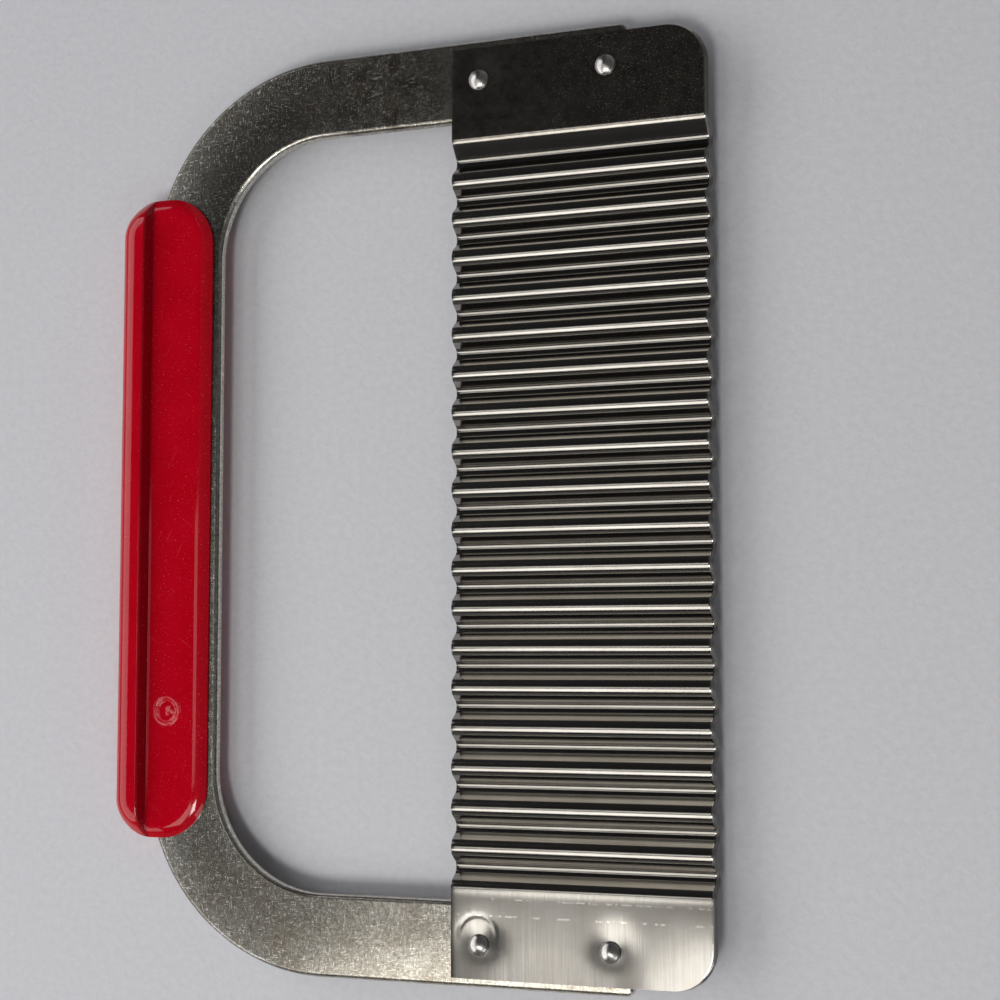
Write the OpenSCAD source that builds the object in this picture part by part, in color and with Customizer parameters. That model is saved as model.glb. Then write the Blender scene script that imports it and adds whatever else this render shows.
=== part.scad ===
// Crinkle cutter: a corrugated blade riveted across the two legs of a bent flat-bar frame,
// with a moulded grip over the frame's back. It lies flat with the crests up.
// X runs from the grip to the cutting edge, Y along the row of crests, Z up.
// The origin is the middle of the underside.

/* [Handle frame] */
// Length of the frame over its two legs
frame_l = 175; // [150:1:200]
// Width of the flat bar
bar_w = 15.4; // [13:0.1:17]
// Thickness of the flat bar
bar_t = 2.4; // [2.2:0.1:3.2]
// Radius on the bar's four long edges
bar_edge_r = 1; // [0.4:0.05:1.1]
// Outer radius of the two bends
bend_r = 38; // [30:0.5:44]
// Clear gap between the bar's back and the blade
hand_gap = 49.2; // [40:0.2:60]
// Length of each leg under the blade
leg_lap = 34.5; // [30:0.5:40]
// Radius on the corners of the leg ends
leg_end_r = 1.5; // [0.5:0.1:4]

/* [Blade] */
// Width of the blade from its back edge to its cutting edge
blade_w = 49.6; // [45:0.2:60]
// Strip of bar that stands out past each end of the blade
blade_inset = 1.65; // [0.5:0.05:3]
// Thickness of the blade's sheet
sheet_t = 0.5; // [0.4:0.05:0.8]
// Distance from crest to crest
wave_pitch = 7.27; // [6.8:0.01:9]
// Height from trough to crest
wave_depth = 2.6; // [1.6:0.1:3.4]
// Radius of the crests and troughs at mid sheet
wave_r = 1.75; // [1:0.05:1.75]
// How far the waves sit off the blade's middle, towards the left end
wave_shift = -0.8; // [-1.5:0.1:1.5]
// Least flat between a leg's inner edge and the first bend
flat_room = 2; // [1:0.1:4]
// Radius of the two corners at the cutting edge
corner_r = 7.5; // [3:0.1:10]
// Width of the ground bevel along the cutting edge
bevel_w = 0.6; // [0.3:0.05:1.5]
// Thickness left at the cutting edge
edge_t = 0.12; // [0.05:0.01:0.3]

/* [Rivets] */
// Diameter of the rivet shank
rivet_d = 2.5; // [2:0.1:3.2]
// Clearance of the shank in its hole, on the diameter
rivet_clear = 0.06; // [0.02:0.02:0.3]
// Diameter of the domed head on the blade
head_d = 3.9; // [3.5:0.1:5]
// Height of the domed head
head_h = 0.9; // [0.5:0.05:1.3]
// Diameter of the closed head under the bar
tail_d = 3.8; // [3.5:0.1:5]
// Height of the closed head
tail_h = 0.6; // [0.4:0.05:0.8]
// Distance of the inner rivets from the blade's back edge
rivet_back = 5.4; // [4:0.1:9]
// Distance of the outer rivets from the leg ends
rivet_end = 4.2; // [3.2:0.1:8]

/* [Grip] */
// Length of the grip
grip_l = 125.5; // [100:0.5:140]
// Thickness of the grip at the bead along its back
grip_t = 10; // [9:0.1:12]
// Plastic behind the bar's back edge
grip_back = 6; // [5:0.1:9]
// Strip of bar left bare along the grip's mouth
bar_bare = 1.75; // [1.2:0.05:3]
// Radius of the grip's corners in plan
grip_corner_r = 9; // [6:0.1:9.5]
// Radius on the grip's outer edges
grip_edge_r = 3.8; // [2.5:0.1:4.3]
// Clearance between the grip and the bar
grip_clear = 0.05; // [0.02:0.01:0.2]
// Width of the bead from the grip's back to the start of its shoulder
bead_w = 5.3; // [4.6:0.1:6.5]
// Radius of the bead's shoulder
shoulder_r = 1.8; // [1.4:0.1:2.5]
// Radius where the shoulder runs out into the panel
fillet_r = 2; // [1.4:0.1:3]
// Depth of the flat panel below the bead, on each face
panel_depth = 2.3; // [1.5:0.05:2.4]
// Width of the rounding along the grip's mouth
lip_w = 2.8; // [2:0.1:3.2]
// Radius of the rounding along the grip's mouth
lip_r = 4.2; // [3.8:0.1:6]
// Radius of the moulding ring on the panel
ring_r = 2.6; // [1.5:0.1:3]
// Width and depth of the moulding ring's line
ring_line = 0.3; // [0.2:0.05:0.5]
// Distance of the moulding ring from the grip's mouth
ring_x = 8.3; // [7:0.1:9]
// Distance of the moulding ring from the grip's middle
ring_y = 38.3; // [0:0.1:42]

/* [Hidden] */
$fn = 96;
past = 1;

// Places along X
grip_x0 = -(grip_back + bar_w + hand_gap + blade_w) / 2;
bar_x0 = grip_x0 + grip_back;
bar_x1 = bar_x0 + bar_w;
grip_x1 = bar_x1 - bar_bare;
shoulder_x = grip_x0 + bead_w;
blade_x0 = bar_x1 + hand_gap;
blade_x1 = blade_x0 + blade_w;
leg_x1 = blade_x0 + leg_lap;
inner_rivet_x = blade_x0 + rivet_back;
outer_rivet_x = leg_x1 - rivet_end;

// Places along Y
frame_y = frame_l / 2;
leg_y = frame_y - bar_w / 2;
blade_y = frame_y - blade_inset;

// Heights
bar_z = grip_t / 2;
sheet_z = bar_z + bar_t / 2;
panel_z = grip_t - panel_depth;

// The wave's flanks run straight between round crests and troughs
wave_n = floor((frame_l - 2 * bar_w - 2 * flat_room) / wave_pitch);
wave_y0 = wave_shift - wave_n * wave_pitch / 2;
wave_y1 = wave_y0 + wave_n * wave_pitch;
half_pitch = wave_pitch / 2;
centre_drop = 2 * wave_r - wave_depth;
centre_gap = sqrt(half_pitch * half_pitch + centre_drop * centre_drop);
flank_a = asin(2 * wave_r / centre_gap) - atan2(centre_drop, half_pitch);
mid_z = sheet_z + sheet_t / 2;
crest_z = mid_z - wave_r;
trough_z = mid_z - wave_depth + wave_r;
arc_steps = 10;
face_steps = 8;

// A rectangle about the origin with round corners
module round_rect(w, h, r) {
    square([w - 2 * r, h], center = true);
    square([w, h - 2 * r], center = true);
    for (sx = [-1, 1], sy = [-1, 1])
        translate([sx * (w / 2 - r), sy * (h / 2 - r)]) circle(r);
}

// What is cut away to round a square corner that points to +X +Y from its round's centre
module corner_cut(r, h) {
    translate([0, 0, -h / 2]) linear_extrude(h) difference() {
        square(r + past);
        circle(r);
    }
}

// The bar's section, grown all round for the grip's slot
module bar_section(grow) {
    round_rect(bar_w + 2 * grow, bar_t + 2 * grow, bar_edge_r + grow);
}

// The bent bar: back, two bends and two legs
module bent_bar(grow) {
    translate([bar_x0 + bar_w / 2, 0, bar_z]) rotate([90, 0, 0])
        linear_extrude(frame_l - 2 * bend_r, center = true) bar_section(grow);
    for (side = [-1, 1]) {
        translate([bar_x0 + bend_r, side * (frame_y - bend_r), bar_z])
            rotate([0, 0, side > 0 ? 90 : 180]) rotate_extrude(angle = 90)
            translate([bend_r - bar_w / 2, 0]) bar_section(grow);
        translate([bar_x0 + bend_r, side * leg_y, bar_z]) rotate([90, 0, 90])
            linear_extrude(leg_x1 - bar_x0 - bend_r) bar_section(grow);
    }
}

// The four rivet places, for holes
module rivet_holes() {
    for (x = [inner_rivet_x, outer_rivet_x], side = [-1, 1])
        translate([x, side * leg_y, bar_z]) cylinder(d = rivet_d + rivet_clear, h = grip_t, center = true);
}

module handle_frame() {
    color("darkgray") difference() {
        bent_bar(0);
        rivet_holes();
        for (side = [-1, 1], edge = [-1, 1])
            translate([leg_x1 - leg_end_r, side * leg_y + edge * (bar_w / 2 - leg_end_r), bar_z])
            mirror([0, edge < 0 ? 1 : 0, 0]) corner_cut(leg_end_r, grip_t);
    }
}

// Points on an arc in the YZ plane, with angles off the vertical
function arc(y, z, r, from, to, steps) =
    [for (i = [0 : steps]) let (a = from + (to - from) * i / steps) [y + r * sin(a), z + r * cos(a)]];

// The line of one face of the sheet from end to end, offset from the sheet's middle
function wave_line(offset) = concat(
    [[-blade_y, mid_z + offset]],
    arc(wave_y0, crest_z, wave_r + offset, 0, flank_a, arc_steps / 2),
    [for (i = [0 : wave_n - 1]) let (y = wave_y0 + (i + 0.5) * wave_pitch) each concat(
        arc(y, trough_z, wave_r - offset, 180 + flank_a, 180 - flank_a, arc_steps),
        i < wave_n - 1 ? arc(y + half_pitch, crest_z, wave_r + offset, -flank_a, flank_a, arc_steps) : [])],
    arc(wave_y1, crest_z, wave_r + offset, -flank_a, 0, arc_steps / 2),
    [[blade_y, mid_z + offset]]);

function reversed(list) = [for (i = [len(list) - 1 : -1 : 0]) list[i]];

function rest(list) = [for (i = [1 : len(list) - 1]) list[i]];

// The corrugated sheet with its two flats, before it is cut
module corrugated_sheet() {
    translate([blade_x0, 0, 0]) rotate([90, 0, 90]) linear_extrude(blade_w)
        polygon(concat(wave_line(sheet_t / 2), reversed(wave_line(-sheet_t / 2))));
}

// What is ground off above the cutting edge: the upper face's own line, sloping down along X
module edge_cut() {
    slope = atan2(sheet_t - edge_t, bevel_w);
    above = [[blade_y + past, grip_t], [-blade_y - past, grip_t]];
    line = [for (p = wave_line(sheet_t / 2)) [p[0], p[1] * cos(slope)]];
    first = [-blade_y - past, line[0][1]];
    last = [blade_y + past, line[0][1]];
    translate([blade_x1 - bevel_w, 0, 0]) rotate([0, slope, 0]) rotate([90, 0, 90])
        linear_extrude(4 * grip_t, center = true) polygon(concat([first], line, [last], above));
}

module crinkle_blade() {
    color("silver") difference() {
        corrugated_sheet();
        edge_cut();
        rivet_holes();
        for (side = [0, 1]) mirror([0, side, 0])
            translate([blade_x1 - corner_r, blade_y - corner_r, bar_z]) corner_cut(corner_r, 2 * grip_t);
    }
}

// Half of a slab's section, out from its middle line, with a round outer edge
module slab_edge(depth) {
    intersection() {
        round_rect(2 * depth, grip_t, grip_edge_r);
        translate([0, -grip_t]) square([depth, 2 * grip_t]);
    }
}

// The grip's plain outside: a slab with round corners and round edges
module grip_slab() {
    grip_w = grip_x1 - grip_x0;
    straight_x = grip_w - 2 * grip_corner_r;
    straight_y = grip_l - 2 * grip_corner_r;
    translate([grip_x0 + grip_w / 2, 0, bar_z]) {
        rotate([90, 0, 0]) linear_extrude(straight_y, center = true) round_rect(grip_w, grip_t, grip_edge_r);
        for (turn = [0, 180]) rotate([0, 0, turn]) {
            translate([-straight_x / 2, straight_y / 2, 0]) rotate([90, 0, 90])
                linear_extrude(straight_x) slab_edge(grip_corner_r);
            for (m = [0, 1]) mirror([m, 0, 0]) translate([straight_x / 2, straight_y / 2, 0])
                rotate_extrude(angle = 90) slab_edge(grip_corner_r);
        }
    }
}

// The line of the upper face beside the bead: shoulder, flat panel and rounded mouth
function face_line() = let (
        flank = acos(1 - panel_depth / (shoulder_r + fillet_r)),
        fillet_x = shoulder_x + (shoulder_r + fillet_r) * sin(flank))
    concat(
        arc(shoulder_x, grip_t - shoulder_r, shoulder_r, 0, flank, face_steps),
        rest(arc(fillet_x, panel_z + fillet_r, fillet_r, 180 + flank, 180, face_steps)),
        arc(grip_x1 - lip_w, panel_z - lip_r, lip_r, 0, asin(lip_w / lip_r), face_steps));

// What is cut from the slab above that line, from end to end
module face_cut() {
    line = face_line();
    out_x = grip_x1 + past;
    above = [[out_x, line[len(line) - 1][1]], [out_x, grip_t + past], [shoulder_x, grip_t + past]];
    rotate([90, 0, 0]) linear_extrude(grip_l + 2 * past, center = true) polygon(concat(line, above));
}

// The moulding ring on the upper panel
module ring_cut() {
    translate([grip_x1 - ring_x, -ring_y, panel_z - ring_line]) difference() {
        cylinder(r = ring_r + ring_line / 2, h = grip_t);
        translate([0, 0, -past]) cylinder(r = ring_r - ring_line / 2, h = 2 * grip_t);
    }
}

module grip() {
    color("firebrick") difference() {
        grip_slab();
        bent_bar(grip_clear);
        face_cut();
        translate([0, 0, grip_t]) mirror([0, 0, 1]) face_cut();
        ring_cut();
    }
}

// A round head's section: a cap of a sphere
module head_section(d, h) {
    ball_r = (d * d / 4 + h * h) / (2 * h);
    intersection() {
        translate([0, h - ball_r]) circle(ball_r);
        square([d / 2, h]);
    }
}

// One rivet with its domed head on the blade and its closed head under the bar
module rivet(x, side) {
    grip_through = bar_t + sheet_t;
    color("gainsboro") translate([x, side * leg_y, bar_z - bar_t / 2]) rotate_extrude() {
        square([rivet_d / 2, grip_through]);
        translate([0, grip_through]) head_section(head_d, head_h);
        mirror([0, 1]) head_section(tail_d, tail_h);
    }
}

handle_frame();
crinkle_blade();
grip();
rivet(inner_rivet_x, 1);  // left_inner_rivet
rivet(outer_rivet_x, 1);  // left_outer_rivet
rivet(inner_rivet_x, -1);  // right_inner_rivet
rivet(outer_rivet_x, -1);  // right_outer_rivet
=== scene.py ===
"""Looks of the crinkle cutter: finer pieces, materials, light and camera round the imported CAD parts."""
import math

import bpy
from mathutils import Euler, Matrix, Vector


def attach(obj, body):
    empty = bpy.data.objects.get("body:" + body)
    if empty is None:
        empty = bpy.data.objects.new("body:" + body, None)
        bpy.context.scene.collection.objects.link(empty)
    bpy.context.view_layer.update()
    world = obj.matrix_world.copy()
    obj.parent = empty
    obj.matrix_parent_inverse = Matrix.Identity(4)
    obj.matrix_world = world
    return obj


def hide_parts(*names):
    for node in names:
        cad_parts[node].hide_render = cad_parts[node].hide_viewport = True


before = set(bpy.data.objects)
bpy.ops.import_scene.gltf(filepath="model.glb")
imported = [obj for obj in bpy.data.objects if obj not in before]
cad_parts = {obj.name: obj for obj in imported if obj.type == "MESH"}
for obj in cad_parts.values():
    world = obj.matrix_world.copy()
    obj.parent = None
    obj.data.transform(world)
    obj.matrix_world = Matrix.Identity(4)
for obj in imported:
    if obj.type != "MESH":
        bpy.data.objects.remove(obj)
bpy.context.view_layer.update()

MM = 0.001
SHARP_TURN = math.radians(38)

# Handle frame sizes, in millimetres
BAR_W = 15.4
BAR_T = 2.4
BAR_EDGE = 1.0
BAR_EDGE_SHARE = 0.83
BAR_Z = 5.0
BEND_R = 30.3
BEND_X = -16.1
BEND_Y = 49.5
LEG_Y = 79.8
LEG_END_X = 45.0
LEG_END_R = 1.5
LEG_END_T = 0.4

# Blade sizes
BLADE_X0 = 10.5
BLADE_X1 = 60.1
BLADE_Y = 85.85
SHEET_T = 0.5
SHEET_Z = 6.45
WAVES = 19
PITCH = 7.27
WAVE_SHIFT = -0.8
WAVE_R = 1.75
WAVE_DEPTH = 2.6
WAVE_UNEVEN = 0.03
RIGHT_FOLD_Y = WAVE_SHIFT - WAVES * PITCH / 2
LEFT_FOLD_Y = 69.0
CORNER_R = 7.5
BEVEL_W = 0.6
EDGE_T = 0.12
BACK_ROLL = 0.03
BACK_ROLL_W = 0.85
STRAIGHT_W = 28.0
FULL_CUT_W = 1.0

# Steps of the blade's grid, and where its fine rows beside the right rivets end
ARC_STEPS = 11
CORNER_STEPS = 24
FINE_ROWS_Y = -73.5

# Dents that riveting left in the blade, and the ring of the tool beside the right inner rivet
DENT_DEPTH = 0.25
DENT_REACH = 3.3
DENT_SHORT_SIDE = 0.85
DENT_SHIFT_X = 0.5
DENT_SHIFT_Y = 1.2
TOOL_RING_DEPTH = 0.05
TOOL_RING_R = 3.6
TOOL_RING_W = 0.36
TOOL_RING_SHIFT_X = -0.2
TOOL_RING_SHIFT_Y = 1.7
TOOL_RING_START = 0.3
TOOL_RING_FADE = 2.5

# Slight bends of the thin sheet at its right end
FOLD_RISE = 0.06
FOLD_SHIFT = 0.35
FOLD_REACH = 0.8
DROOP = 0.60
DROOP_LEAD = 4.0
DROOP_RUN = 16.0
HOLLOW = 0.10
HOLLOW_SHIFT_X = 3.5
HOLLOW_SHIFT_Y = -2.5
HOLLOW_REACH_X = 3.2
HOLLOW_REACH_Y = 5.5

# Rivet sizes
RIVET_X = (15.9, 40.8)
RIVET_STEPS = 64
HEAD_R = 1.95
HEAD_H = 0.9
HEAD_SINK = 0.25
HEAD_WALL = 0.24
HEAD_FOOT_W = 0.05
HEAD_FOOT_H = 0.06
DOME_SLOPE = 0.40
DOME_TIP_R = 0.55
DOME_RIM = 0.26
SHANK_R = 1.25
TAIL_R = 1.9
TAIL_H = 0.6
TAIL_WALL = 0.12
TAIL_FULLNESS = 0.8

# Grip sizes
GRIP_X0 = -60.1
GRIP_X1 = -40.45
GRIP_Y = 62.75
GRIP_BACK_R = 7.5
GRIP_FRONT_R = 9.8
LIP_Z = 1.6
PANEL_Z = 2.7
LIP_W = 2.8
BEAD_H = 2.3
BEAD_ROUND = 4.0
BEAD_END = 8.0
BEAD_FADE = 2.4
SHOULDER_X = -54.4
SHOULDER_R = 0.35
FOOT_R = 0.12
FLANK_TURN = 70.0
SLOT_CLEAR = 0.05

# Moulding ring on the grip, with worn nubs as height, place across and along, stretch and reach
RING_X = -48.75
RING_Y = -38.3
RING_R = 2.6
RING_W = 0.19
RING_H = 0.12
RING_INNER_R = 2.05
RING_INNER_W = 0.17
RING_INNER_H = 0.09
RING_ROOM = 3.2
RING_Z = 7.7
NUBS = ((0.26, 0.9, 0.35, 1.7, 0.42), (0.16, 1.35, -0.15, 1.0, 0.30), (0.12, 0.2, -0.55, 1.0, 0.26))

# Soft lamps that face the object: name, place in metres, width, depth, watts and colour
LAMPS = (
    ("overhead", (0.10, -0.50, 1.0), 0.20, 0.30, 2.8, (1.0, 0.99, 0.97)),
    ("crest_line", (-0.30, -0.52, 1.0), 0.46, 0.48, 1.6, (1.0, 0.98, 0.94)),
    ("lip_line", (-0.27, -0.02, 1.0), 0.20, 0.32, 0.24, (1.0, 0.99, 0.97)),
    ("back_side", (-1.02, 0.0, 0.70), 2.4, 0.75, 9.0, (0.97, 0.98, 1.0)),
    ("hand_side", (0.54, -0.78, 0.72), 0.4, 0.4, 0.8, (0.98, 0.99, 1.0)),
    ("near_low", (-0.30, -1.20, 0.35), 1.0, 0.5, 0.16, (1.0, 0.97, 0.92)),
)

# Room light by direction, as stops of the direction's X or Z and a level
ROOM_ACROSS = ((-0.74, 0.20), (-0.64, 0.035), (-0.16, 0.035), (-0.04, 0.20), (0.82, 0.20), (0.95, 0.03))
ROOM_UPWARDS = ((0.15, 1.0), (0.75, 0.38))
ROOM_TINT = (0.97, 0.98, 1.0)

# Floor in millimetres, and camera in metres and degrees
FLOOR_HALF = 6000.0
LENS = 68.4
SENSOR = 36.0
CAMERA_PLACE = (0.14520, -0.02832, 0.32987)
CAMERA_TURNS = (4.776, 21.153, -0.058)


def uneven(seed, size):
    """A small fixed unevenness for the thing with this number."""
    return size * math.sin(seed * 12.9898) * math.cos(seed * 4.1414 + 1.7)


def spread(low, high, count):
    """Evenly spaced values from low to high."""
    return [low + (high - low) * k / count for k in range(count + 1)]


def clamp(value):
    """The value, kept between 0 and 1."""
    return min(max(value, 0.0), 1.0)


def bell(distance, width):
    """A smooth bump, 1 in the middle and near 0 at twice the width."""
    return math.exp(-((distance / width) ** 2))


# Mesh helpers


def add_object(name, points, faces):
    """A mesh object from points in millimetres."""
    mesh = bpy.data.meshes.new(name)
    mesh.from_pydata([(x * MM, y * MM, z * MM) for x, y, z in points], [], faces)
    thing = bpy.data.objects.new(name, mesh)
    bpy.context.scene.collection.objects.link(thing)
    return thing


def smooth_shade(mesh):
    """Shades a mesh smoothly, apart from its sharp edges."""
    mesh.shade_smooth()
    mesh.set_sharp_from_angle(angle=SHARP_TURN)


def add_piece(name, points, faces, paint, node):
    """A closed mesh piece of the object that stands for a CAD node."""
    piece = add_object(name, points, faces)
    smooth_shade(piece.data)
    piece.data.materials.append(paint)
    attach(piece, "root")
    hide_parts(node)
    return piece


def closed_plate(top, under):
    """Points and faces of a plate, from two grids of points: rows towards +Y, columns towards +X."""
    rows = len(top)
    cols = len(top[0])
    count = rows * cols
    points = [p for row in top for p in row] + [p for row in under for p in row]
    faces = []
    for i in range(rows - 1):
        for j in range(cols - 1):
            a = i * cols + j
            b = count + a
            faces.append((a, a + 1, a + cols + 1, a + cols))
            faces.append((b, b + cols, b + cols + 1, b + 1))
    rim = list(range(cols))
    rim += [i * cols + cols - 1 for i in range(1, rows)]
    rim += [(rows - 1) * cols + j for j in range(cols - 2, -1, -1)]
    rim += [i * cols for i in range(rows - 2, 0, -1)]
    for a, b in zip(rim, rim[1:] + rim[:1]):
        faces.append((a, count + a, count + b, b))
    return points, faces


def swept_tube(loops):
    """Points and faces of a closed tube through loops of points, with flat ends."""
    size = len(loops[0])
    points = [p for loop in loops for p in loop]
    faces = []
    for i in range(len(loops) - 1):
        for j in range(size):
            a = i * size + j
            b = i * size + (j + 1) % size
            faces.append((a, b, b + size, a + size))
    last = (len(loops) - 1) * size
    faces.append(tuple(range(size - 1, -1, -1)))
    faces.append(tuple(range(last, last + size)))
    return points, faces


def lathe(profile, centre_x, centre_y, steps):
    """Points and faces of a solid turned about a vertical axis, from its lowest to its highest point."""
    points = [(centre_x, centre_y, profile[0][1])]
    faces = []
    inner = profile[1:-1]
    for r, z in inner:
        for k in range(steps):
            turn = 2 * math.pi * k / steps
            points.append((centre_x + r * math.cos(turn), centre_y + r * math.sin(turn), z))
    points.append((centre_x, centre_y, profile[-1][1]))
    for k in range(steps):
        n = (k + 1) % steps
        faces.append((0, 1 + n, 1 + k))
        for i in range(len(inner) - 1):
            a = 1 + i * steps
            faces.append((a + k, a + n, a + n + steps, a + k + steps))
        a = 1 + (len(inner) - 1) * steps
        faces.append((a + k, a + n, len(points) - 1))
    return points, faces


# Handle frame


def bar_section(half_w, half_t, edge):
    """A rounded oblong as (across, up) points, anticlockwise."""
    loop = []
    for sx, sy, first in ((1, 1, 0), (-1, 1, 90), (-1, -1, 180), (1, -1, 270)):
        for turn in spread(first, first + 90, 7):
            angle = math.radians(turn)
            across = sx * (half_w - edge) + edge * math.cos(angle)
            loop.append((across, sy * (half_t - edge) + edge * math.sin(angle)))
    return loop


def bar_path():
    """Places along the bent bar: point, outward direction, and distance from the nearer leg end."""
    path = []
    leg = LEG_END_X - BEND_X
    ends = [0.0, 0.08, 0.2, 0.4, 0.65, 1.0, 1.5]
    for d in ends + spread(3.0, leg, 40):
        path.append((LEG_END_X - d, LEG_Y, 0.0, 1.0, d))
    for turn in spread(90, 180, 48)[1:]:
        c = math.cos(math.radians(turn))
        s = math.sin(math.radians(turn))
        path.append((BEND_X + BEND_R * c, BEND_Y + BEND_R * s, c, s, leg))
    for y in spread(BEND_Y, 0, 30)[1:]:
        path.append((BEND_X - BEND_R, y, -1.0, 0.0, leg))
    lower = [(x, -y, nx, -ny, d) for x, y, nx, ny, d in path[:-1]]
    return path + lower[::-1]


def bar_loops(grow):
    """Section loops of the bent bar, grown by a clearance on all sides."""
    loops = []
    for x, y, nx, ny, d in bar_path():
        plan = max(LEG_END_R - d, 0.0)
        edge = max(BAR_EDGE - d, 0.0)
        cut = LEG_END_R - math.sqrt(LEG_END_R**2 - plan**2)
        thin = BAR_EDGE - math.sqrt(BAR_EDGE**2 - edge**2)
        half_w = BAR_W / 2 - cut + grow
        half_t = max(BAR_T / 2 - thin, LEG_END_T / 2) + grow
        section = bar_section(half_w, half_t, min(BAR_EDGE, half_t * BAR_EDGE_SHARE))
        loops.append([(x + nx * u, y + ny * u, BAR_Z + w) for u, w in section])
    return loops


def build_frame(paint):
    """The bent bar with its tapered leg ends."""
    points, faces = swept_tube(bar_loops(0.0))
    add_piece("handle_bar", points, faces, paint, "handle_frame")


# Crinkle blade


def flank_angle(run):
    """How far the arcs turn before the straight flank that joins a crest and a trough this far apart."""
    low = 0.0
    high = math.pi / 2
    for _ in range(60):
        a = (low + high) / 2
        level = run - 2 * WAVE_R * math.sin(a)
        fall = WAVE_DEPTH - 2 * WAVE_R * (1 - math.cos(a))
        if fall * math.cos(a) > level * math.sin(a):
            low = a
        else:
            high = a
    return low


def arc_rows(middle, level, side, start, end):
    """Rows on one arc of the wave, with side 1 for a crest and -1 for a trough."""
    rows = []
    for a in spread(start, end, ARC_STEPS):
        fall = WAVE_R * (1 - math.cos(a))
        rows.append((middle + WAVE_R * math.sin(a), level - side * fall, side * math.sin(a), math.cos(a)))
    return rows


def wave_rows():
    """Rows of all the waves, from the right fold to the left one."""
    crests = [RIGHT_FOLD_Y + k * PITCH for k in range(WAVES)] + [LEFT_FOLD_Y]
    rows = []
    before = 0.0
    for k in range(WAVES):
        trough = RIGHT_FOLD_Y + (k + 0.5) * PITCH
        after = flank_angle(trough - crests[k])
        lift = uneven(k, WAVE_UNEVEN) if k > 0 else 0.0
        rows += arc_rows(crests[k], SHEET_Z + lift, 1, -before, after)
        before = flank_angle(crests[k + 1] - trough)
        low_z = SHEET_Z - WAVE_DEPTH + uneven(k + 40, WAVE_UNEVEN)
        rows += arc_rows(trough, low_z, -1, -after, before)
    return rows + arc_rows(LEFT_FOLD_Y, SHEET_Z, 1, -before, 0.0)


def sheet_rows():
    """The sheet's middle line from end to end: places (y, z) with the up direction (ny, nz)."""
    inner_y = BLADE_Y - CORNER_R
    corner = [inner_y + CORNER_R * math.sin(math.radians(a)) for a in spread(0, 90, CORNER_STEPS)]
    right = [-y for y in corner[::-1]] + spread(-inner_y, FINE_ROWS_Y, 20)[1:]
    right += spread(FINE_ROWS_Y, RIGHT_FOLD_Y, 7)[1:-1]
    left = spread(LEFT_FOLD_Y, inner_y, 14)[1:-1] + corner
    flats = [[(y, SHEET_Z, 0.0, 1.0) for y in places] for places in (right, left)]
    return flats[0] + wave_rows() + flats[1]


def rivet_dent(x, y):
    """How deep the riveting tool pressed the sheet's upper face here."""
    depth = 0.0
    for rx in RIVET_X:
        for side in (-1, 1):
            ahead = y - side * LEG_Y - DENT_SHIFT_Y
            r = math.hypot(x - rx - DENT_SHIFT_X, ahead if ahead > 0 else ahead / DENT_SHORT_SIDE)
            depth += DENT_DEPTH * bell(r, DENT_REACH)
    ahead = y + LEG_Y - TOOL_RING_SHIFT_Y
    r = math.hypot(x - RIVET_X[0] - TOOL_RING_SHIFT_X, ahead)
    upper_half = clamp(ahead / TOOL_RING_FADE + TOOL_RING_START)
    return depth + TOOL_RING_DEPTH * upper_half * bell(r - TOOL_RING_R, TOOL_RING_W)


def sheet_sway(x, y):
    """How far the sheet rises at the right fold and droops past the right leg's end."""
    rise = FOLD_RISE * bell(y - RIGHT_FOLD_Y - FOLD_SHIFT, FOLD_REACH)
    past = clamp((x - LEG_END_X + DROOP_LEAD) / DROOP_RUN)
    share = past**2 * (3 - 2 * past)
    droop = DROOP * share * (max(RIGHT_FOLD_Y - y, 0.0) / (RIGHT_FOLD_Y + BLADE_Y)) ** 2
    hollow = HOLLOW * bell(x - LEG_END_X - HOLLOW_SHIFT_X, HOLLOW_REACH_X)
    hollow *= bell(y + BLADE_Y - HOLLOW_SHIFT_Y, HOLLOW_REACH_Y)
    return rise - droop - hollow


def sheet_columns(width):
    """Distances of the grid's columns from the sheet's back edge, closest round the rivets."""
    back = [0.0, 0.03, 0.1, 0.25, 0.5, BACK_ROLL_W]
    near = spread(1.4, 9.5, 30) + spread(9.5, 24.5, 9)[1:]
    far = spread(24.5, 38.0, 27)[1:] + spread(38.0, width - 1.5, 7)[1:]
    front = [width - 0.9, width - BEVEL_W, width - BEVEL_W / 2, width]
    return back + near + far + front


def build_blade(paint):
    """The wavy sheet with its flats, dents and ground edge."""
    width = BLADE_X1 - BLADE_X0
    columns = sheet_columns(width)
    top = []
    under = []
    for y, z, ny, nz in sheet_rows():
        over = max(abs(y) - (BLADE_Y - CORNER_R), 0.0)
        cut = CORNER_R - math.sqrt(max(CORNER_R**2 - over**2, 0.0))
        upper_row = []
        lower_row = []
        for d in columns:
            share = clamp((d - STRAIGHT_W) / (width - FULL_CUT_W - STRAIGHT_W))
            x = BLADE_X0 + d - cut * share
            bevel = max(d - (width - BEVEL_W), 0.0) / BEVEL_W * (SHEET_T - EDGE_T)
            roll = BACK_ROLL * max(1 - d / BACK_ROLL_W, 0.0) ** 2
            up = SHEET_T / 2 - bevel - roll - rivet_dent(x, y)
            down = SHEET_T / 2 - roll
            level = z + sheet_sway(x, y)
            upper_row.append((x, y + ny * up, level + nz * up))
            lower_row.append((x, y - ny * down, level - nz * down))
        top.append(upper_row)
        under.append(lower_row)
    points, faces = closed_plate(top, under)
    add_piece("wavy_blade", points, faces, paint, "crinkle_blade")


# Rivets


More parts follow.
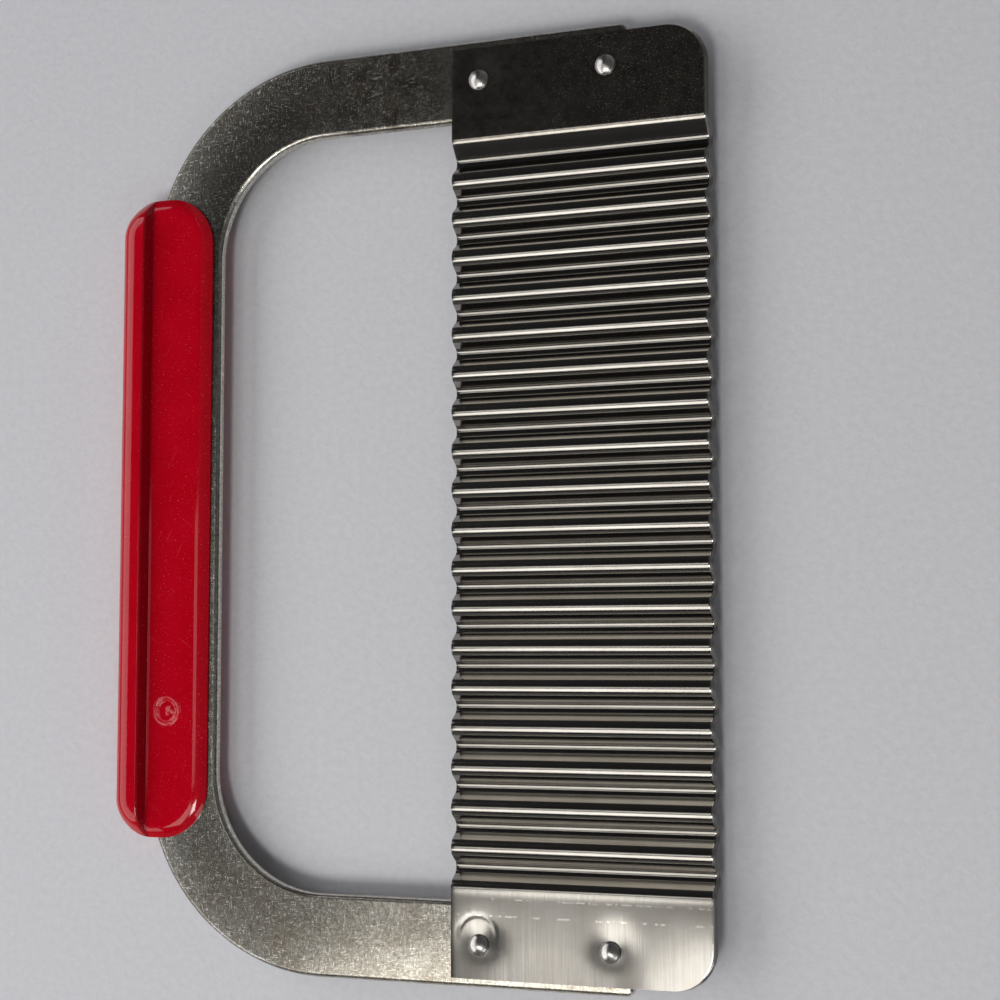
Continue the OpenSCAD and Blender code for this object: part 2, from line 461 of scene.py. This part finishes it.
def rivet_profile():
    """Half outline of one rivet, from the tail's lowest point to the head's highest."""
    tail_top = BAR_Z - BAR_T / 2
    seat = SHEET_Z + SHEET_T / 2 - HEAD_SINK
    crown = SHEET_Z + SHEET_T / 2 + HEAD_H
    profile = [(0.0, tail_top - TAIL_H)]
    for a in spread(10, 90, 8):
        angle = math.radians(a)
        z = tail_top - TAIL_WALL - (TAIL_H - TAIL_WALL) * math.cos(angle)
        profile.append((TAIL_R * math.sin(angle) ** TAIL_FULLNESS, z))
    profile += [(TAIL_R, tail_top), (SHANK_R, tail_top), (SHANK_R, seat), (HEAD_R - HEAD_FOOT_W, seat)]
    profile += [(HEAD_R, seat + HEAD_FOOT_H), (HEAD_R, seat + HEAD_WALL)]
    for r in spread(HEAD_R, 0.0, 24)[1:-1]:
        fall = DOME_SLOPE * (math.hypot(r, DOME_TIP_R) - DOME_TIP_R) + DOME_RIM * (r / HEAD_R) ** 6
        profile.append((r, crown - fall))
    profile.append((0.0, crown))
    return profile


def build_rivets(paint):
    """The four rivets, two on each leg."""
    for side, y in (("left", LEG_Y), ("right", -LEG_Y)):
        for place, x in zip(("inner", "outer"), RIVET_X):
            points, faces = lathe(rivet_profile(), x, y, RIVET_STEPS)
            node = f"{side}_{place}_rivet"
            add_piece(node + "_domed", points, faces, paint, node)


# Grip


def grip_edges(y):
    """Where the grip's plan outline begins and ends at this place along it."""
    d = GRIP_Y - abs(y)
    back = max(GRIP_BACK_R - d, 0.0)
    front = max(GRIP_FRONT_R - d, 0.0)
    x0 = GRIP_X0 + GRIP_BACK_R - math.sqrt(max(GRIP_BACK_R**2 - back**2, 0.0))
    x1 = GRIP_X1 - GRIP_FRONT_R + math.sqrt(max(GRIP_FRONT_R**2 - front**2, 0.0))
    return x0, x1


def inside_depth(x, y):
    """Distance of a place from the grip's plan outline."""
    d = GRIP_Y - abs(y)
    if x < GRIP_X0 + GRIP_BACK_R and d < GRIP_BACK_R:
        return GRIP_BACK_R - math.hypot(GRIP_X0 + GRIP_BACK_R - x, GRIP_BACK_R - d)
    if x > GRIP_X1 - GRIP_FRONT_R and d < GRIP_FRONT_R:
        return GRIP_FRONT_R - math.hypot(x - GRIP_X1 + GRIP_FRONT_R, GRIP_FRONT_R - d)
    return min(x - GRIP_X0, GRIP_X1 - x, d)


def shoulder(x):
    """The bead's share of its height: 1 on its top, 0 on the panel, with a straight flank between."""
    turn = math.radians(FLANK_TURN)
    fall = (SHOULDER_R + FOOT_R) * (1 - math.cos(turn))
    crown = SHOULDER_R * math.sin(turn)
    foot = FOOT_R * math.sin(turn)
    end = crown + (BEAD_H - fall) / math.tan(turn) + foot
    d = min(max(x - SHOULDER_X, 0.0), end)
    if d < crown:
        return 1 - (SHOULDER_R - math.sqrt(SHOULDER_R**2 - d**2)) / BEAD_H
    if end - d < foot:
        return (FOOT_R - math.sqrt(FOOT_R**2 - (end - d) ** 2)) / BEAD_H
    drop = SHOULDER_R * (1 - math.cos(turn))
    return 1 - (drop + (d - crown) * math.tan(turn)) / BEAD_H


def grip_height(x, y):
    """Height of the grip's face above its middle plane."""
    depth = max(inside_depth(x, y), 0.0)
    slope = 1 - min(depth / LIP_W, 1.0)
    face = PANEL_Z - (PANEL_Z - LIP_Z) * slope**2
    rounding = math.sqrt(1 - (1 - min(depth / BEAD_ROUND, 1.0)) ** 2)
    end = min((GRIP_Y - abs(y)) / BEAD_END, 1.0)
    fade = 1 - (1 - end) ** BEAD_FADE
    return face + BEAD_H * shoulder(x) * rounding * fade


def ring_mark(x, y):
    """Height of the moulding ring's uneven double ridge and of the worn nubs inside it."""
    dx = x - RING_X
    dy = y - RING_Y
    r = math.hypot(dx, dy)
    turn = math.atan2(dy, dx)
    wave = 0.04 * math.sin(2 * turn + 0.6) + 0.03 * math.sin(5 * turn + 1.9)
    height = RING_H * (1 + 0.4 * math.sin(3 * turn)) * bell(r - RING_R - wave, RING_W)
    inner_h = RING_INNER_H * (1 + 0.5 * math.cos(2 * turn + 0.8))
    height += inner_h * bell(r - RING_INNER_R - wave, RING_INNER_W)
    for nub, across, along, stretch, reach in NUBS:
        height += nub * bell(math.hypot((dx - across) / stretch, dy - along), reach)
    return height


def grip_lines():
    """Grid lines of the grip: shares of its width, and places along it."""
    width = GRIP_X1 - GRIP_X0
    back = [0.0, 0.02, 0.07, 0.16, 0.3, 0.5, 0.75, 1.05, 1.4, 1.8, 2.3, 2.9, 3.5, 4.1, 4.6, 5.0, 5.3]
    front = [5.2, 4.7, 4.1, 3.6, 3.2, 2.8, 2.4, 2.0, 1.6, 1.2, 0.85, 0.5, 0.25, 0.08, 0.0]
    across = back + spread(5.5, 8.1, 40) + spread(8.3, 14.4, 42)[:-1] + [width - d for d in front]
    ends = [GRIP_FRONT_R * (1 - math.cos(math.radians(a))) for a in spread(0, 90, 26)]
    left = [GRIP_Y - d for d in ends]
    along = left + spread(GRIP_Y - GRIP_FRONT_R, RING_Y + RING_ROOM, 70)[1:]
    along += spread(RING_Y + RING_ROOM, RING_Y - RING_ROOM, 44)[1:]
    along += spread(RING_Y - RING_ROOM, -GRIP_Y + GRIP_FRONT_R, 12)[1:]
    along += [-y for y in left[-2::-1]]
    return [d / width for d in across], along[::-1]


def cut_bar_slot(grip):
    """Cuts the slot that the bent bar lies in."""
    points, faces = swept_tube(bar_loops(SLOT_CLEAR))
    cutter = add_object("slot_cutter", points, faces)
    cut = grip.modifiers.new("bar_slot", "BOOLEAN")
    cut.operation = "DIFFERENCE"
    cut.solver = "EXACT"
    cut.object = cutter
    graph = bpy.context.evaluated_depsgraph_get()
    slotted = bpy.data.meshes.new_from_object(grip.evaluated_get(graph))
    grip.modifiers.clear()
    grip.data = slotted
    smooth_shade(slotted)
    bpy.data.objects.remove(cutter)


def build_grip(paint):
    """The red moulding, slotted for the bar."""
    shares, along = grip_lines()
    top = []
    under = []
    for y in along:
        x0, x1 = grip_edges(y)
        top_row = []
        under_row = []
        for share in shares:
            x = x0 + share * (x1 - x0)
            h = grip_height(x, y)
            top_row.append((x, y, BAR_Z + h + ring_mark(x, y)))
            under_row.append((x, y, BAR_Z - h))
        top.append(top_row)
        under.append(under_row)
    points, faces = closed_plate(top, under)
    cut_bar_slot(add_piece("red_grip", points, faces, paint, "grip"))


# Material helpers


def add_ramp(tree, value, stops):
    """A colour for each value, from stops of place and linear colour."""
    ramp = tree.nodes.new("ShaderNodeValToRGB")
    marks = ramp.color_ramp.elements
    while len(marks) < len(stops):
        marks.new(0.5)
    for mark, (at, colour) in zip(marks, stops):
        mark.position = at
        mark.color = (*colour, 1)
    tree.links.new(value, ramp.inputs["Fac"])
    return ramp.outputs["Color"]


def add_mix(tree, kind, first, second, share=None):
    """Two colours joined fully, or by the share of a socket."""
    mix = tree.nodes.new("ShaderNodeMix")
    mix.data_type = "RGBA"
    mix.blend_type = kind
    mix.inputs[0].default_value = 1.0
    if share is not None:
        tree.links.new(share, mix.inputs[0])
    tree.links.new(first, mix.inputs[6])
    tree.links.new(second, mix.inputs[7])
    return mix.outputs[2]


class Paint:
    """A material whose nodes are added one by one."""

    def __init__(self, name):
        self.material = bpy.data.materials.new(name)
        self.material.use_nodes = True
        self.tree = self.material.node_tree
        self.shader = self.tree.nodes["Principled BSDF"]
        self.place = self.tree.nodes.new("ShaderNodeTexCoord")

    def link(self, source, target):
        """Joins an output socket to an input socket."""
        self.tree.links.new(source, target)

    def noise(self, scale, stretch=(1, 1, 1), turn=0.0, detail=4.0, rough=0.55):
        """Grey noise in metres of the object, stretched and turned about Z."""
        mapping = self.tree.nodes.new("ShaderNodeMapping")
        mapping.vector_type = "TEXTURE"
        mapping.inputs["Scale"].default_value = [1 / s for s in stretch]
        mapping.inputs["Rotation"].default_value = (0, 0, math.radians(turn))
        self.link(self.place.outputs["Object"], mapping.inputs["Vector"])
        noise = self.tree.nodes.new("ShaderNodeTexNoise")
        noise.inputs["Scale"].default_value = scale
        noise.inputs["Detail"].default_value = detail
        noise.inputs["Roughness"].default_value = rough
        self.link(mapping.outputs["Vector"], noise.inputs["Vector"])
        return noise.outputs["Fac"]

    def ramp(self, value, stops):
        """A colour for each value, from stops of place and linear colour."""
        return add_ramp(self.tree, value, stops)

    def grey(self, value, stops):
        """A number for each value, from stops of place and number."""
        return self.ramp(value, [(at, (v, v, v)) for at, v in stops])

    def along(self, axis, low, high, stops):
        """A number that changes along an axis, from stops of millimetres and number."""
        span = (high - low) * MM
        mapping = self.tree.nodes.new("ShaderNodeMapping")
        mapping.inputs["Scale"].default_value = (1 / span, 1 / span, 1 / span)
        mapping.inputs["Location"].default_value = [-low * MM / span] * 3
        self.link(self.place.outputs["Object"], mapping.inputs["Vector"])
        split = self.tree.nodes.new("ShaderNodeSeparateXYZ")
        self.link(mapping.outputs["Vector"], split.inputs["Vector"])
        return self.grey(split.outputs[axis], [((at - low) / (high - low), v) for at, v in stops])

    def near(self, centre, reach, stops):
        """A number that changes with the distance from a point, from stops of millimetres, farthest first."""
        mapping = self.tree.nodes.new("ShaderNodeMapping")
        mapping.vector_type = "TEXTURE"
        mapping.inputs["Location"].default_value = [c * MM for c in centre]
        mapping.inputs["Scale"].default_value = [reach * MM] * 3
        self.link(self.place.outputs["Object"], mapping.inputs["Vector"])
        ball = self.tree.nodes.new("ShaderNodeTexGradient")
        ball.gradient_type = "SPHERICAL"
        self.link(mapping.outputs["Vector"], ball.inputs["Vector"])
        return self.grey(ball.outputs["Fac"], [(1 - at / reach, v) for at, v in stops])

    def mix(self, first, second, share):
        """The first colour, and the second where the share is 1."""
        return add_mix(self.tree, "MIX", first, second, share)

    def times(self, first, second, share=None):
        """The product of two colours."""
        return add_mix(self.tree, "MULTIPLY", first, second, share)

    def plus(self, first, second):
        """The sum of two colours."""
        return add_mix(self.tree, "ADD", first, second)

    def bump(self, height, depth, strength, below=None):
        """A normal from a height; below is the normal of a coarser bump."""
        bump = self.tree.nodes.new("ShaderNodeBump")
        bump.inputs["Distance"].default_value = depth
        bump.inputs["Strength"].default_value = strength
        self.link(height, bump.inputs["Height"])
        if below is not None:
            self.link(below, bump.inputs["Normal"])
        return bump.outputs["Normal"]

    def finish(self, metal, colour, roughness, normal):
        """The finished material."""
        self.shader.inputs["Metallic"].default_value = metal
        self.link(colour, self.shader.inputs["Base Color"])
        self.link(roughness, self.shader.inputs["Roughness"])
        self.link(normal, self.shader.inputs["Normal"])
        return self.material


# Frame material


def frame_ground(paint, stain_and_shade, speckle):
    """Brown mottled plate, with painted shade that darkens it towards the left leg and towards the back of
    the bar.
    """
    ground = [(0.30, (0.52, 0.46, 0.37)), (0.50, (0.82, 0.78, 0.69)), (0.72, (0.97, 0.95, 0.88))]
    fleck = [(0.32, (0.45, 0.43, 0.41)), (0.52, (0.77, 0.76, 0.74)), (0.72, (1.0, 0.99, 0.98))]
    colour = paint.times(paint.ramp(stain_and_shade, ground), paint.ramp(speckle, fleck))
    # Painted shade: the colour darkens towards the left leg, and towards the back of the bar next to the
    # grip.
    tarnish_and_shade = paint.along("Y", -90, 90, [(-80, 1.0), (-60, 0.78), (20, 0.72), (70, 0.58)])
    painted_back_shade = paint.along("X", -60, 60, [(-46, 0.44), (-24, 0.60), (-4, 1.0)])
    return paint.times(paint.times(colour, tarnish_and_shade), painted_back_shade)


def painted_inner_side_light(paint, colour, speckle):
    """Painted light: a brighter colour on the inner side of the bar's back and bends, standing in for the lit
    floor's reflection there.
    """
    bright = paint.ramp(speckle, [(0.32, (0.40, 0.38, 0.33)), (0.72, (0.80, 0.77, 0.69))])
    inner = paint.along("X", -44, -34, [(-39.5, 0.0), (-39.1, 1.0)])
    straight = paint.along("Y", -60, 60, [(-50, 0), (-48, 1), (48, 1), (50, 0)])
    # Painted light: the inner side of the back and of each bend is mixed towards the brighter colour.
    colour = paint.mix(colour, bright, paint.times(inner, straight))
    for side in (-1, 1):
        bend = paint.near((BEND_X, side * BEND_Y, BAR_Z), 30.0, [(23.5, 0), (23.1, 1)])
        colour = paint.mix(colour, bright, bend)
    return colour


def frame_steel():
    """Dull tumbled plate with short crossed scratches that sparkle, and a smudged, scuffed left leg."""
    paint = Paint("dull_frame_steel")
    stain_and_shade = paint.noise(95, detail=6.0, rough=0.65)
    speckle = paint.noise(1500, detail=5.0, rough=0.7)
    dash = paint.noise(900, stretch=(1, 5, 1), detail=2.0)
    cross = paint.noise(900, stretch=(5, 1, 1), detail=2.0)
    colour = painted_inner_side_light(paint, frame_ground(paint, stain_and_shade, speckle), speckle)
    marked = paint.near((-4, 80, BAR_Z), 16.0, [(14, 0), (7, 1)])
    smudge = paint.grey(paint.noise(330, detail=3.0), [(0.48, 0.0), (0.62, 0.65)])
    dark = paint.ramp(stain_and_shade, [(0.30, (0.10, 0.085, 0.07)), (0.70, (0.17, 0.15, 0.13))])
    colour = paint.mix(colour, dark, paint.times(smudge, marked))
    for scratch in (dash, cross):
        colour = paint.plus(colour, paint.grey(scratch, [(0.60, 0.0), (0.68, 0.32)]))
    scuff = paint.noise(260, stretch=(1, 5, 1), turn=8, detail=3.0, rough=0.8)
    scuff = paint.grey(scuff, [(0.62, 0.0), (0.70, 0.6)])
    colour = paint.plus(colour, paint.times(scuff, marked))
    rough = paint.grey(stain_and_shade, [(0.30, 0.28), (0.70, 0.21)])
    normal = paint.bump(speckle, 0.00005, 0.16)
    normal = paint.bump(dash, 0.00006, 0.22, below=normal)
    normal = paint.bump(cross, 0.00006, 0.22, below=normal)
    return paint.finish(1.0, colour, rough, normal)


# Blade material


def blade_ground(paint, plain, streak, drawn, flat):
    """Steel with streaks across the flats, lines along the waves, and painted shade that darkens the troughs.
    """
    brushed = paint.ramp(streak, [(0.30, (0.88, 0.87, 0.86)), (0.65, (1.0, 1.0, 1.0))])
    burnished = paint.ramp(drawn, [(0.34, (0.80, 0.79, 0.77)), (0.62, (1.0, 1.0, 1.0))])
    colour = paint.times(plain, paint.mix(burnished, brushed, flat))
    # Painted shade: the waves' colour darkens down towards the troughs.
    stain_and_shade = paint.along("Z", 3, 7, [(4.2, 0.70), (5.8, 0.75), (6.5, 1.0)])
    return paint.mix(paint.times(colour, stain_and_shade), colour, flat)


def rubbed_dashes(paint):
    """Two broken bright lines on the right flat, side by side with its fold."""
    dashes = paint.noise(450, stretch=(1, 0.6, 0.02), detail=3.0, rough=0.7)
    dashes = paint.grey(dashes, [(0.50, 0.0), (0.58, 0.30)])
    lines = [(-74.75, 0.0), (-74.6, 1.0), (-74.4, 1.0), (-74.25, 0.0)]
    lines += [(-71.7, 0.0), (-71.55, 0.8), (-71.4, 0.8), (-71.25, 0.0)]
    return paint.times(dashes, paint.along("Y", -80, -68, lines))


def rust_pits(paint, left_flat):
    """Where the left flat is pitted, mostly near its outer corner."""
    pits = paint.grey(paint.noise(3400, detail=3.0, rough=0.7), [(0.57, 0.0), (0.68, 0.65)])
    patch = paint.near((57, 85, SHEET_Z), 44.0, [(42, 0.22), (14, 1.0)])
    return paint.times(paint.times(pits, patch), left_flat)


def dimmed_right_flat(paint, colour):
    """The right flat, darker towards its inner corner and along a strip over the leg."""
    corner_dimming = paint.near((12.5, -84.5, SHEET_Z), 9.0, [(8.5, 1.0), (3.0, 0.62)])
    strip = paint.along("Y", -88, -76, [(-85.5, 0.80), (-80.5, 1.0)])
    held = paint.along("X", 40, 50, [(42.5, 1.0), (45.5, 0.0)])
    return paint.times(paint.times(colour, corner_dimming), strip, held)


def blade_steel():
    """Sheet with burnished waves, brushed flats, a tarnished and pitted left flat and a ground edge."""
    paint = Paint("polished_blade_steel")
    streak = paint.noise(60, stretch=(75, 1, 1), detail=3.0, rough=0.6)
    drawn = paint.noise(40, stretch=(1, 60, 60), detail=3.0, rough=0.6)
    mottle = paint.noise(240, detail=4.0, rough=0.6)
    flat = paint.along("Y", -90, 90, [(-70.6, 1.0), (-69.2, 0.0), (67.6, 0.0), (69.0, 1.0)])
    left_flat = paint.along("Y", -90, 90, [(67.6, 0.0), (69.0, 1.0)])
    ground_edge = paint.along("X", 50, 70, [(59.45, 0.0), (59.6, 1.0)])
    pits = rust_pits(paint, left_flat)

    plain = [(0.30, (0.45, 0.43, 0.395)), (0.55, (0.48, 0.46, 0.43)), (0.75, (0.51, 0.49, 0.46))]
    plain = paint.ramp(mottle, plain)
    colour = paint.plus(blade_ground(paint, plain, streak, drawn, flat), rubbed_dashes(paint))
    tarnish_and_shade = [(0.36, (0.64, 0.59, 0.54)), (0.52, (0.88, 0.84, 0.80)), (0.64, (1.0, 0.97, 0.94))]
    tarnish_and_shade = paint.ramp(paint.noise(700, detail=5.0, rough=0.7), tarnish_and_shade)
    colour = paint.mix(colour, paint.times(plain, tarnish_and_shade), left_flat)
    rust = paint.ramp(mottle, [(0.30, (0.36, 0.23, 0.16)), (0.70, (0.58, 0.46, 0.36))])
    colour = dimmed_right_flat(paint, paint.mix(colour, rust, pits))
    # Painted shade: the ground edge gets a darker colour.
    darker = paint.ramp(streak, [(0.30, (0.20, 0.19, 0.18)), (0.70, (0.30, 0.29, 0.28))])
    colour = paint.mix(colour, darker, ground_edge)

    burnished = paint.grey(drawn, [(0.30, 0.18), (0.70, 0.13)])
    brushed = paint.grey(streak, [(0.30, 0.195), (0.70, 0.155)])
    brushed = paint.mix(brushed, paint.grey(mottle, [(0.30, 0.20), (0.70, 0.16)]), left_flat)
    rough = paint.mix(burnished, brushed, flat)
    rough = paint.mix(rough, paint.grey(mottle, [(0.30, 0.50), (0.70, 0.38)]), pits)
    rough = paint.mix(rough, paint.grey(streak, [(0.30, 0.62), (0.70, 0.50)]), ground_edge)
    normal = paint.bump(paint.mix(drawn, streak, flat), 0.00003, 0.04)
    return paint.finish(1.0, colour, rough, normal)


# Rivet, grip and floor materials


def rivet_steel():
    """Bright pressed steel with small hammer marks."""
    paint = Paint("bright_rivet_steel")
    mark = paint.noise(900, detail=3.0)
    colour = paint.ramp(mark, [(0.30, (0.46, 0.44, 0.41)), (0.70, (0.66, 0.64, 0.61))])
    rough = paint.grey(mark, [(0.30, 0.32), (0.70, 0.20)])
    normal = paint.bump(mark, 0.0001, 0.25)
    return paint.finish(1.0, colour, rough, normal)


def red_plastic():
    """Glossy red moulding with tiny light specks, a few short hair scratches and a paler rubbed ring."""
    paint = Paint("red_grip_plastic")
    wear = paint.noise(900, detail=4.0, rough=0.65)
    speck = paint.noise(3000, detail=2.0, rough=0.6)
    first = paint.noise(130, stretch=(34, 1, 34), turn=-28, detail=1.0)
    second = paint.noise(150, stretch=(34, 1, 34), turn=55, detail=1.0)
    ground = [(0.30, (0.56, 0.0, 0.010)), (0.70, (0.62, 0.001, 0.014))]
    # Painted shade: the colour darkens across the bead's flank and its foot, where it meets the panel.
    painted_flank_shade = paint.along("X", -60, -40, [(-54.5, 1.0), (-53.9, 0.6), (-53.3, 0.55), (-52.8, 1.0)])
    colour = paint.times(paint.ramp(paint.noise(130, detail=3.0), ground), painted_flank_shade)
    dust = [(0.63, (0.0, 0.0, 0.0)), (0.70, (0.11, 0.035, 0.045)), (0.78, (0.34, 0.16, 0.18))]
    colour = paint.plus(colour, paint.ramp(speck, dust))
    colour = paint.plus(colour, paint.ramp(first, [(0.75, (0.0, 0.0, 0.0)), (0.78, (0.12, 0.04, 0.05))]))
    colour = paint.plus(colour, paint.ramp(second, [(0.76, (0.0, 0.0, 0.0)), (0.79, (0.10, 0.03, 0.04))]))
    ridges = [(RING_R + 0.3, 0), (RING_R, 1), (RING_R - 0.22, 0.1)]
    ridges += [(RING_INNER_R, 0.7), (RING_INNER_R - 0.25, 0)]
    ring = paint.near((RING_X, RING_Y, RING_Z), 6.0, ridges)
    rubbed = paint.ramp(wear, [(0.38, (0.02, 0.0, 0.0)), (0.62, (0.30, 0.09, 0.10))])
    colour = paint.plus(colour, paint.times(rubbed, ring))
    rough = paint.grey(wear, [(0.35, 0.06), (0.70, 0.10)])
    normal = paint.bump(wear, 0.00003, 0.05)
    return paint.finish(0.0, colour, rough, normal)


def floor_cloth():
    """Plain pale cloth with a barely visible nap."""
    paint = Paint("pale_floor_cloth")
    nap = paint.noise(700, detail=4.0, rough=0.6)
    colour = paint.ramp(nap, [(0.30, (0.76, 0.76, 0.795)), (0.70, (0.82, 0.82, 0.855))])
    rough = paint.grey(nap, [(0.30, 0.85), (0.70, 0.95)])
    normal = paint.bump(nap, 0.0004, 0.3)
    return paint.finish(0.0, colour, rough, normal)


# Floor, light and camera


def build_floor():
    """A wide flat cloth under the object."""
    half = FLOOR_HALF
    corners = [(-half, -half, 0), (half, -half, 0), (half, half, 0), (-half, half, 0)]
    floor = add_object("floor", corners, [(0, 1, 2, 3)])
    floor.data.materials.append(floor_cloth())


def build_light():
    """The soft lamps, each turned to the origin."""
    for name, place, width, depth, watts, colour in LAMPS:
        lamp = bpy.data.lights.new(name, "AREA")
        lamp.shape = "RECTANGLE"
        lamp.size = width
        lamp.size_y = depth
        lamp.energy = watts
        lamp.color = colour
        holder = bpy.data.objects.new(name, lamp)
        holder.location = place
        holder.rotation_euler = (-Vector(place)).to_track_quat("-Z", "Y").to_euler()
        bpy.context.scene.collection.objects.link(holder)


def build_room():
    """A pale room that dims upwards, with a dark gap across it that keeps the steel's contrast."""
    world = bpy.data.worlds.new("studio")
    world.use_nodes = True
    tree = world.node_tree
    facing = tree.nodes.new("ShaderNodeTexCoord")
    split = tree.nodes.new("ShaderNodeSeparateXYZ")
    tree.links.new(facing.outputs["Generated"], split.inputs["Vector"])
    levels = []
    for axis, stops in (("X", ROOM_ACROSS), ("Z", ROOM_UPWARDS)):
        span = tree.nodes.new("ShaderNodeMapRange")
        span.inputs["From Min"].default_value = -1.0
        tree.links.new(split.outputs[axis], span.inputs["Value"])
        tinted = [((at + 1) / 2, [level * tint for tint in ROOM_TINT]) for at, level in stops]
        levels.append(add_ramp(tree, span.outputs["Result"], tinted))
    light = add_mix(tree, "MULTIPLY", levels[0], levels[1])
    tree.links.new(light, tree.nodes["Background"].inputs["Color"])
    bpy.context.scene.world = world


def build_camera():
    """The camera at the photograph's viewing angle."""
    lens = bpy.data.cameras.new("camera")
    lens.lens = LENS
    lens.sensor_width = SENSOR
    camera = bpy.data.objects.new("camera", lens)
    camera.location = CAMERA_PLACE
    camera.rotation_mode = "ZXY"
    camera.rotation_euler = Euler([math.radians(a) for a in CAMERA_TURNS], "ZXY")
    bpy.context.scene.collection.objects.link(camera)
    bpy.context.scene.camera = camera


build_frame(frame_steel())
build_blade(blade_steel())
build_rivets(rivet_steel())
build_grip(red_plastic())
build_floor()
build_light()
build_room()
build_camera()
bpy.context.scene.view_settings.view_transform = "Standard"
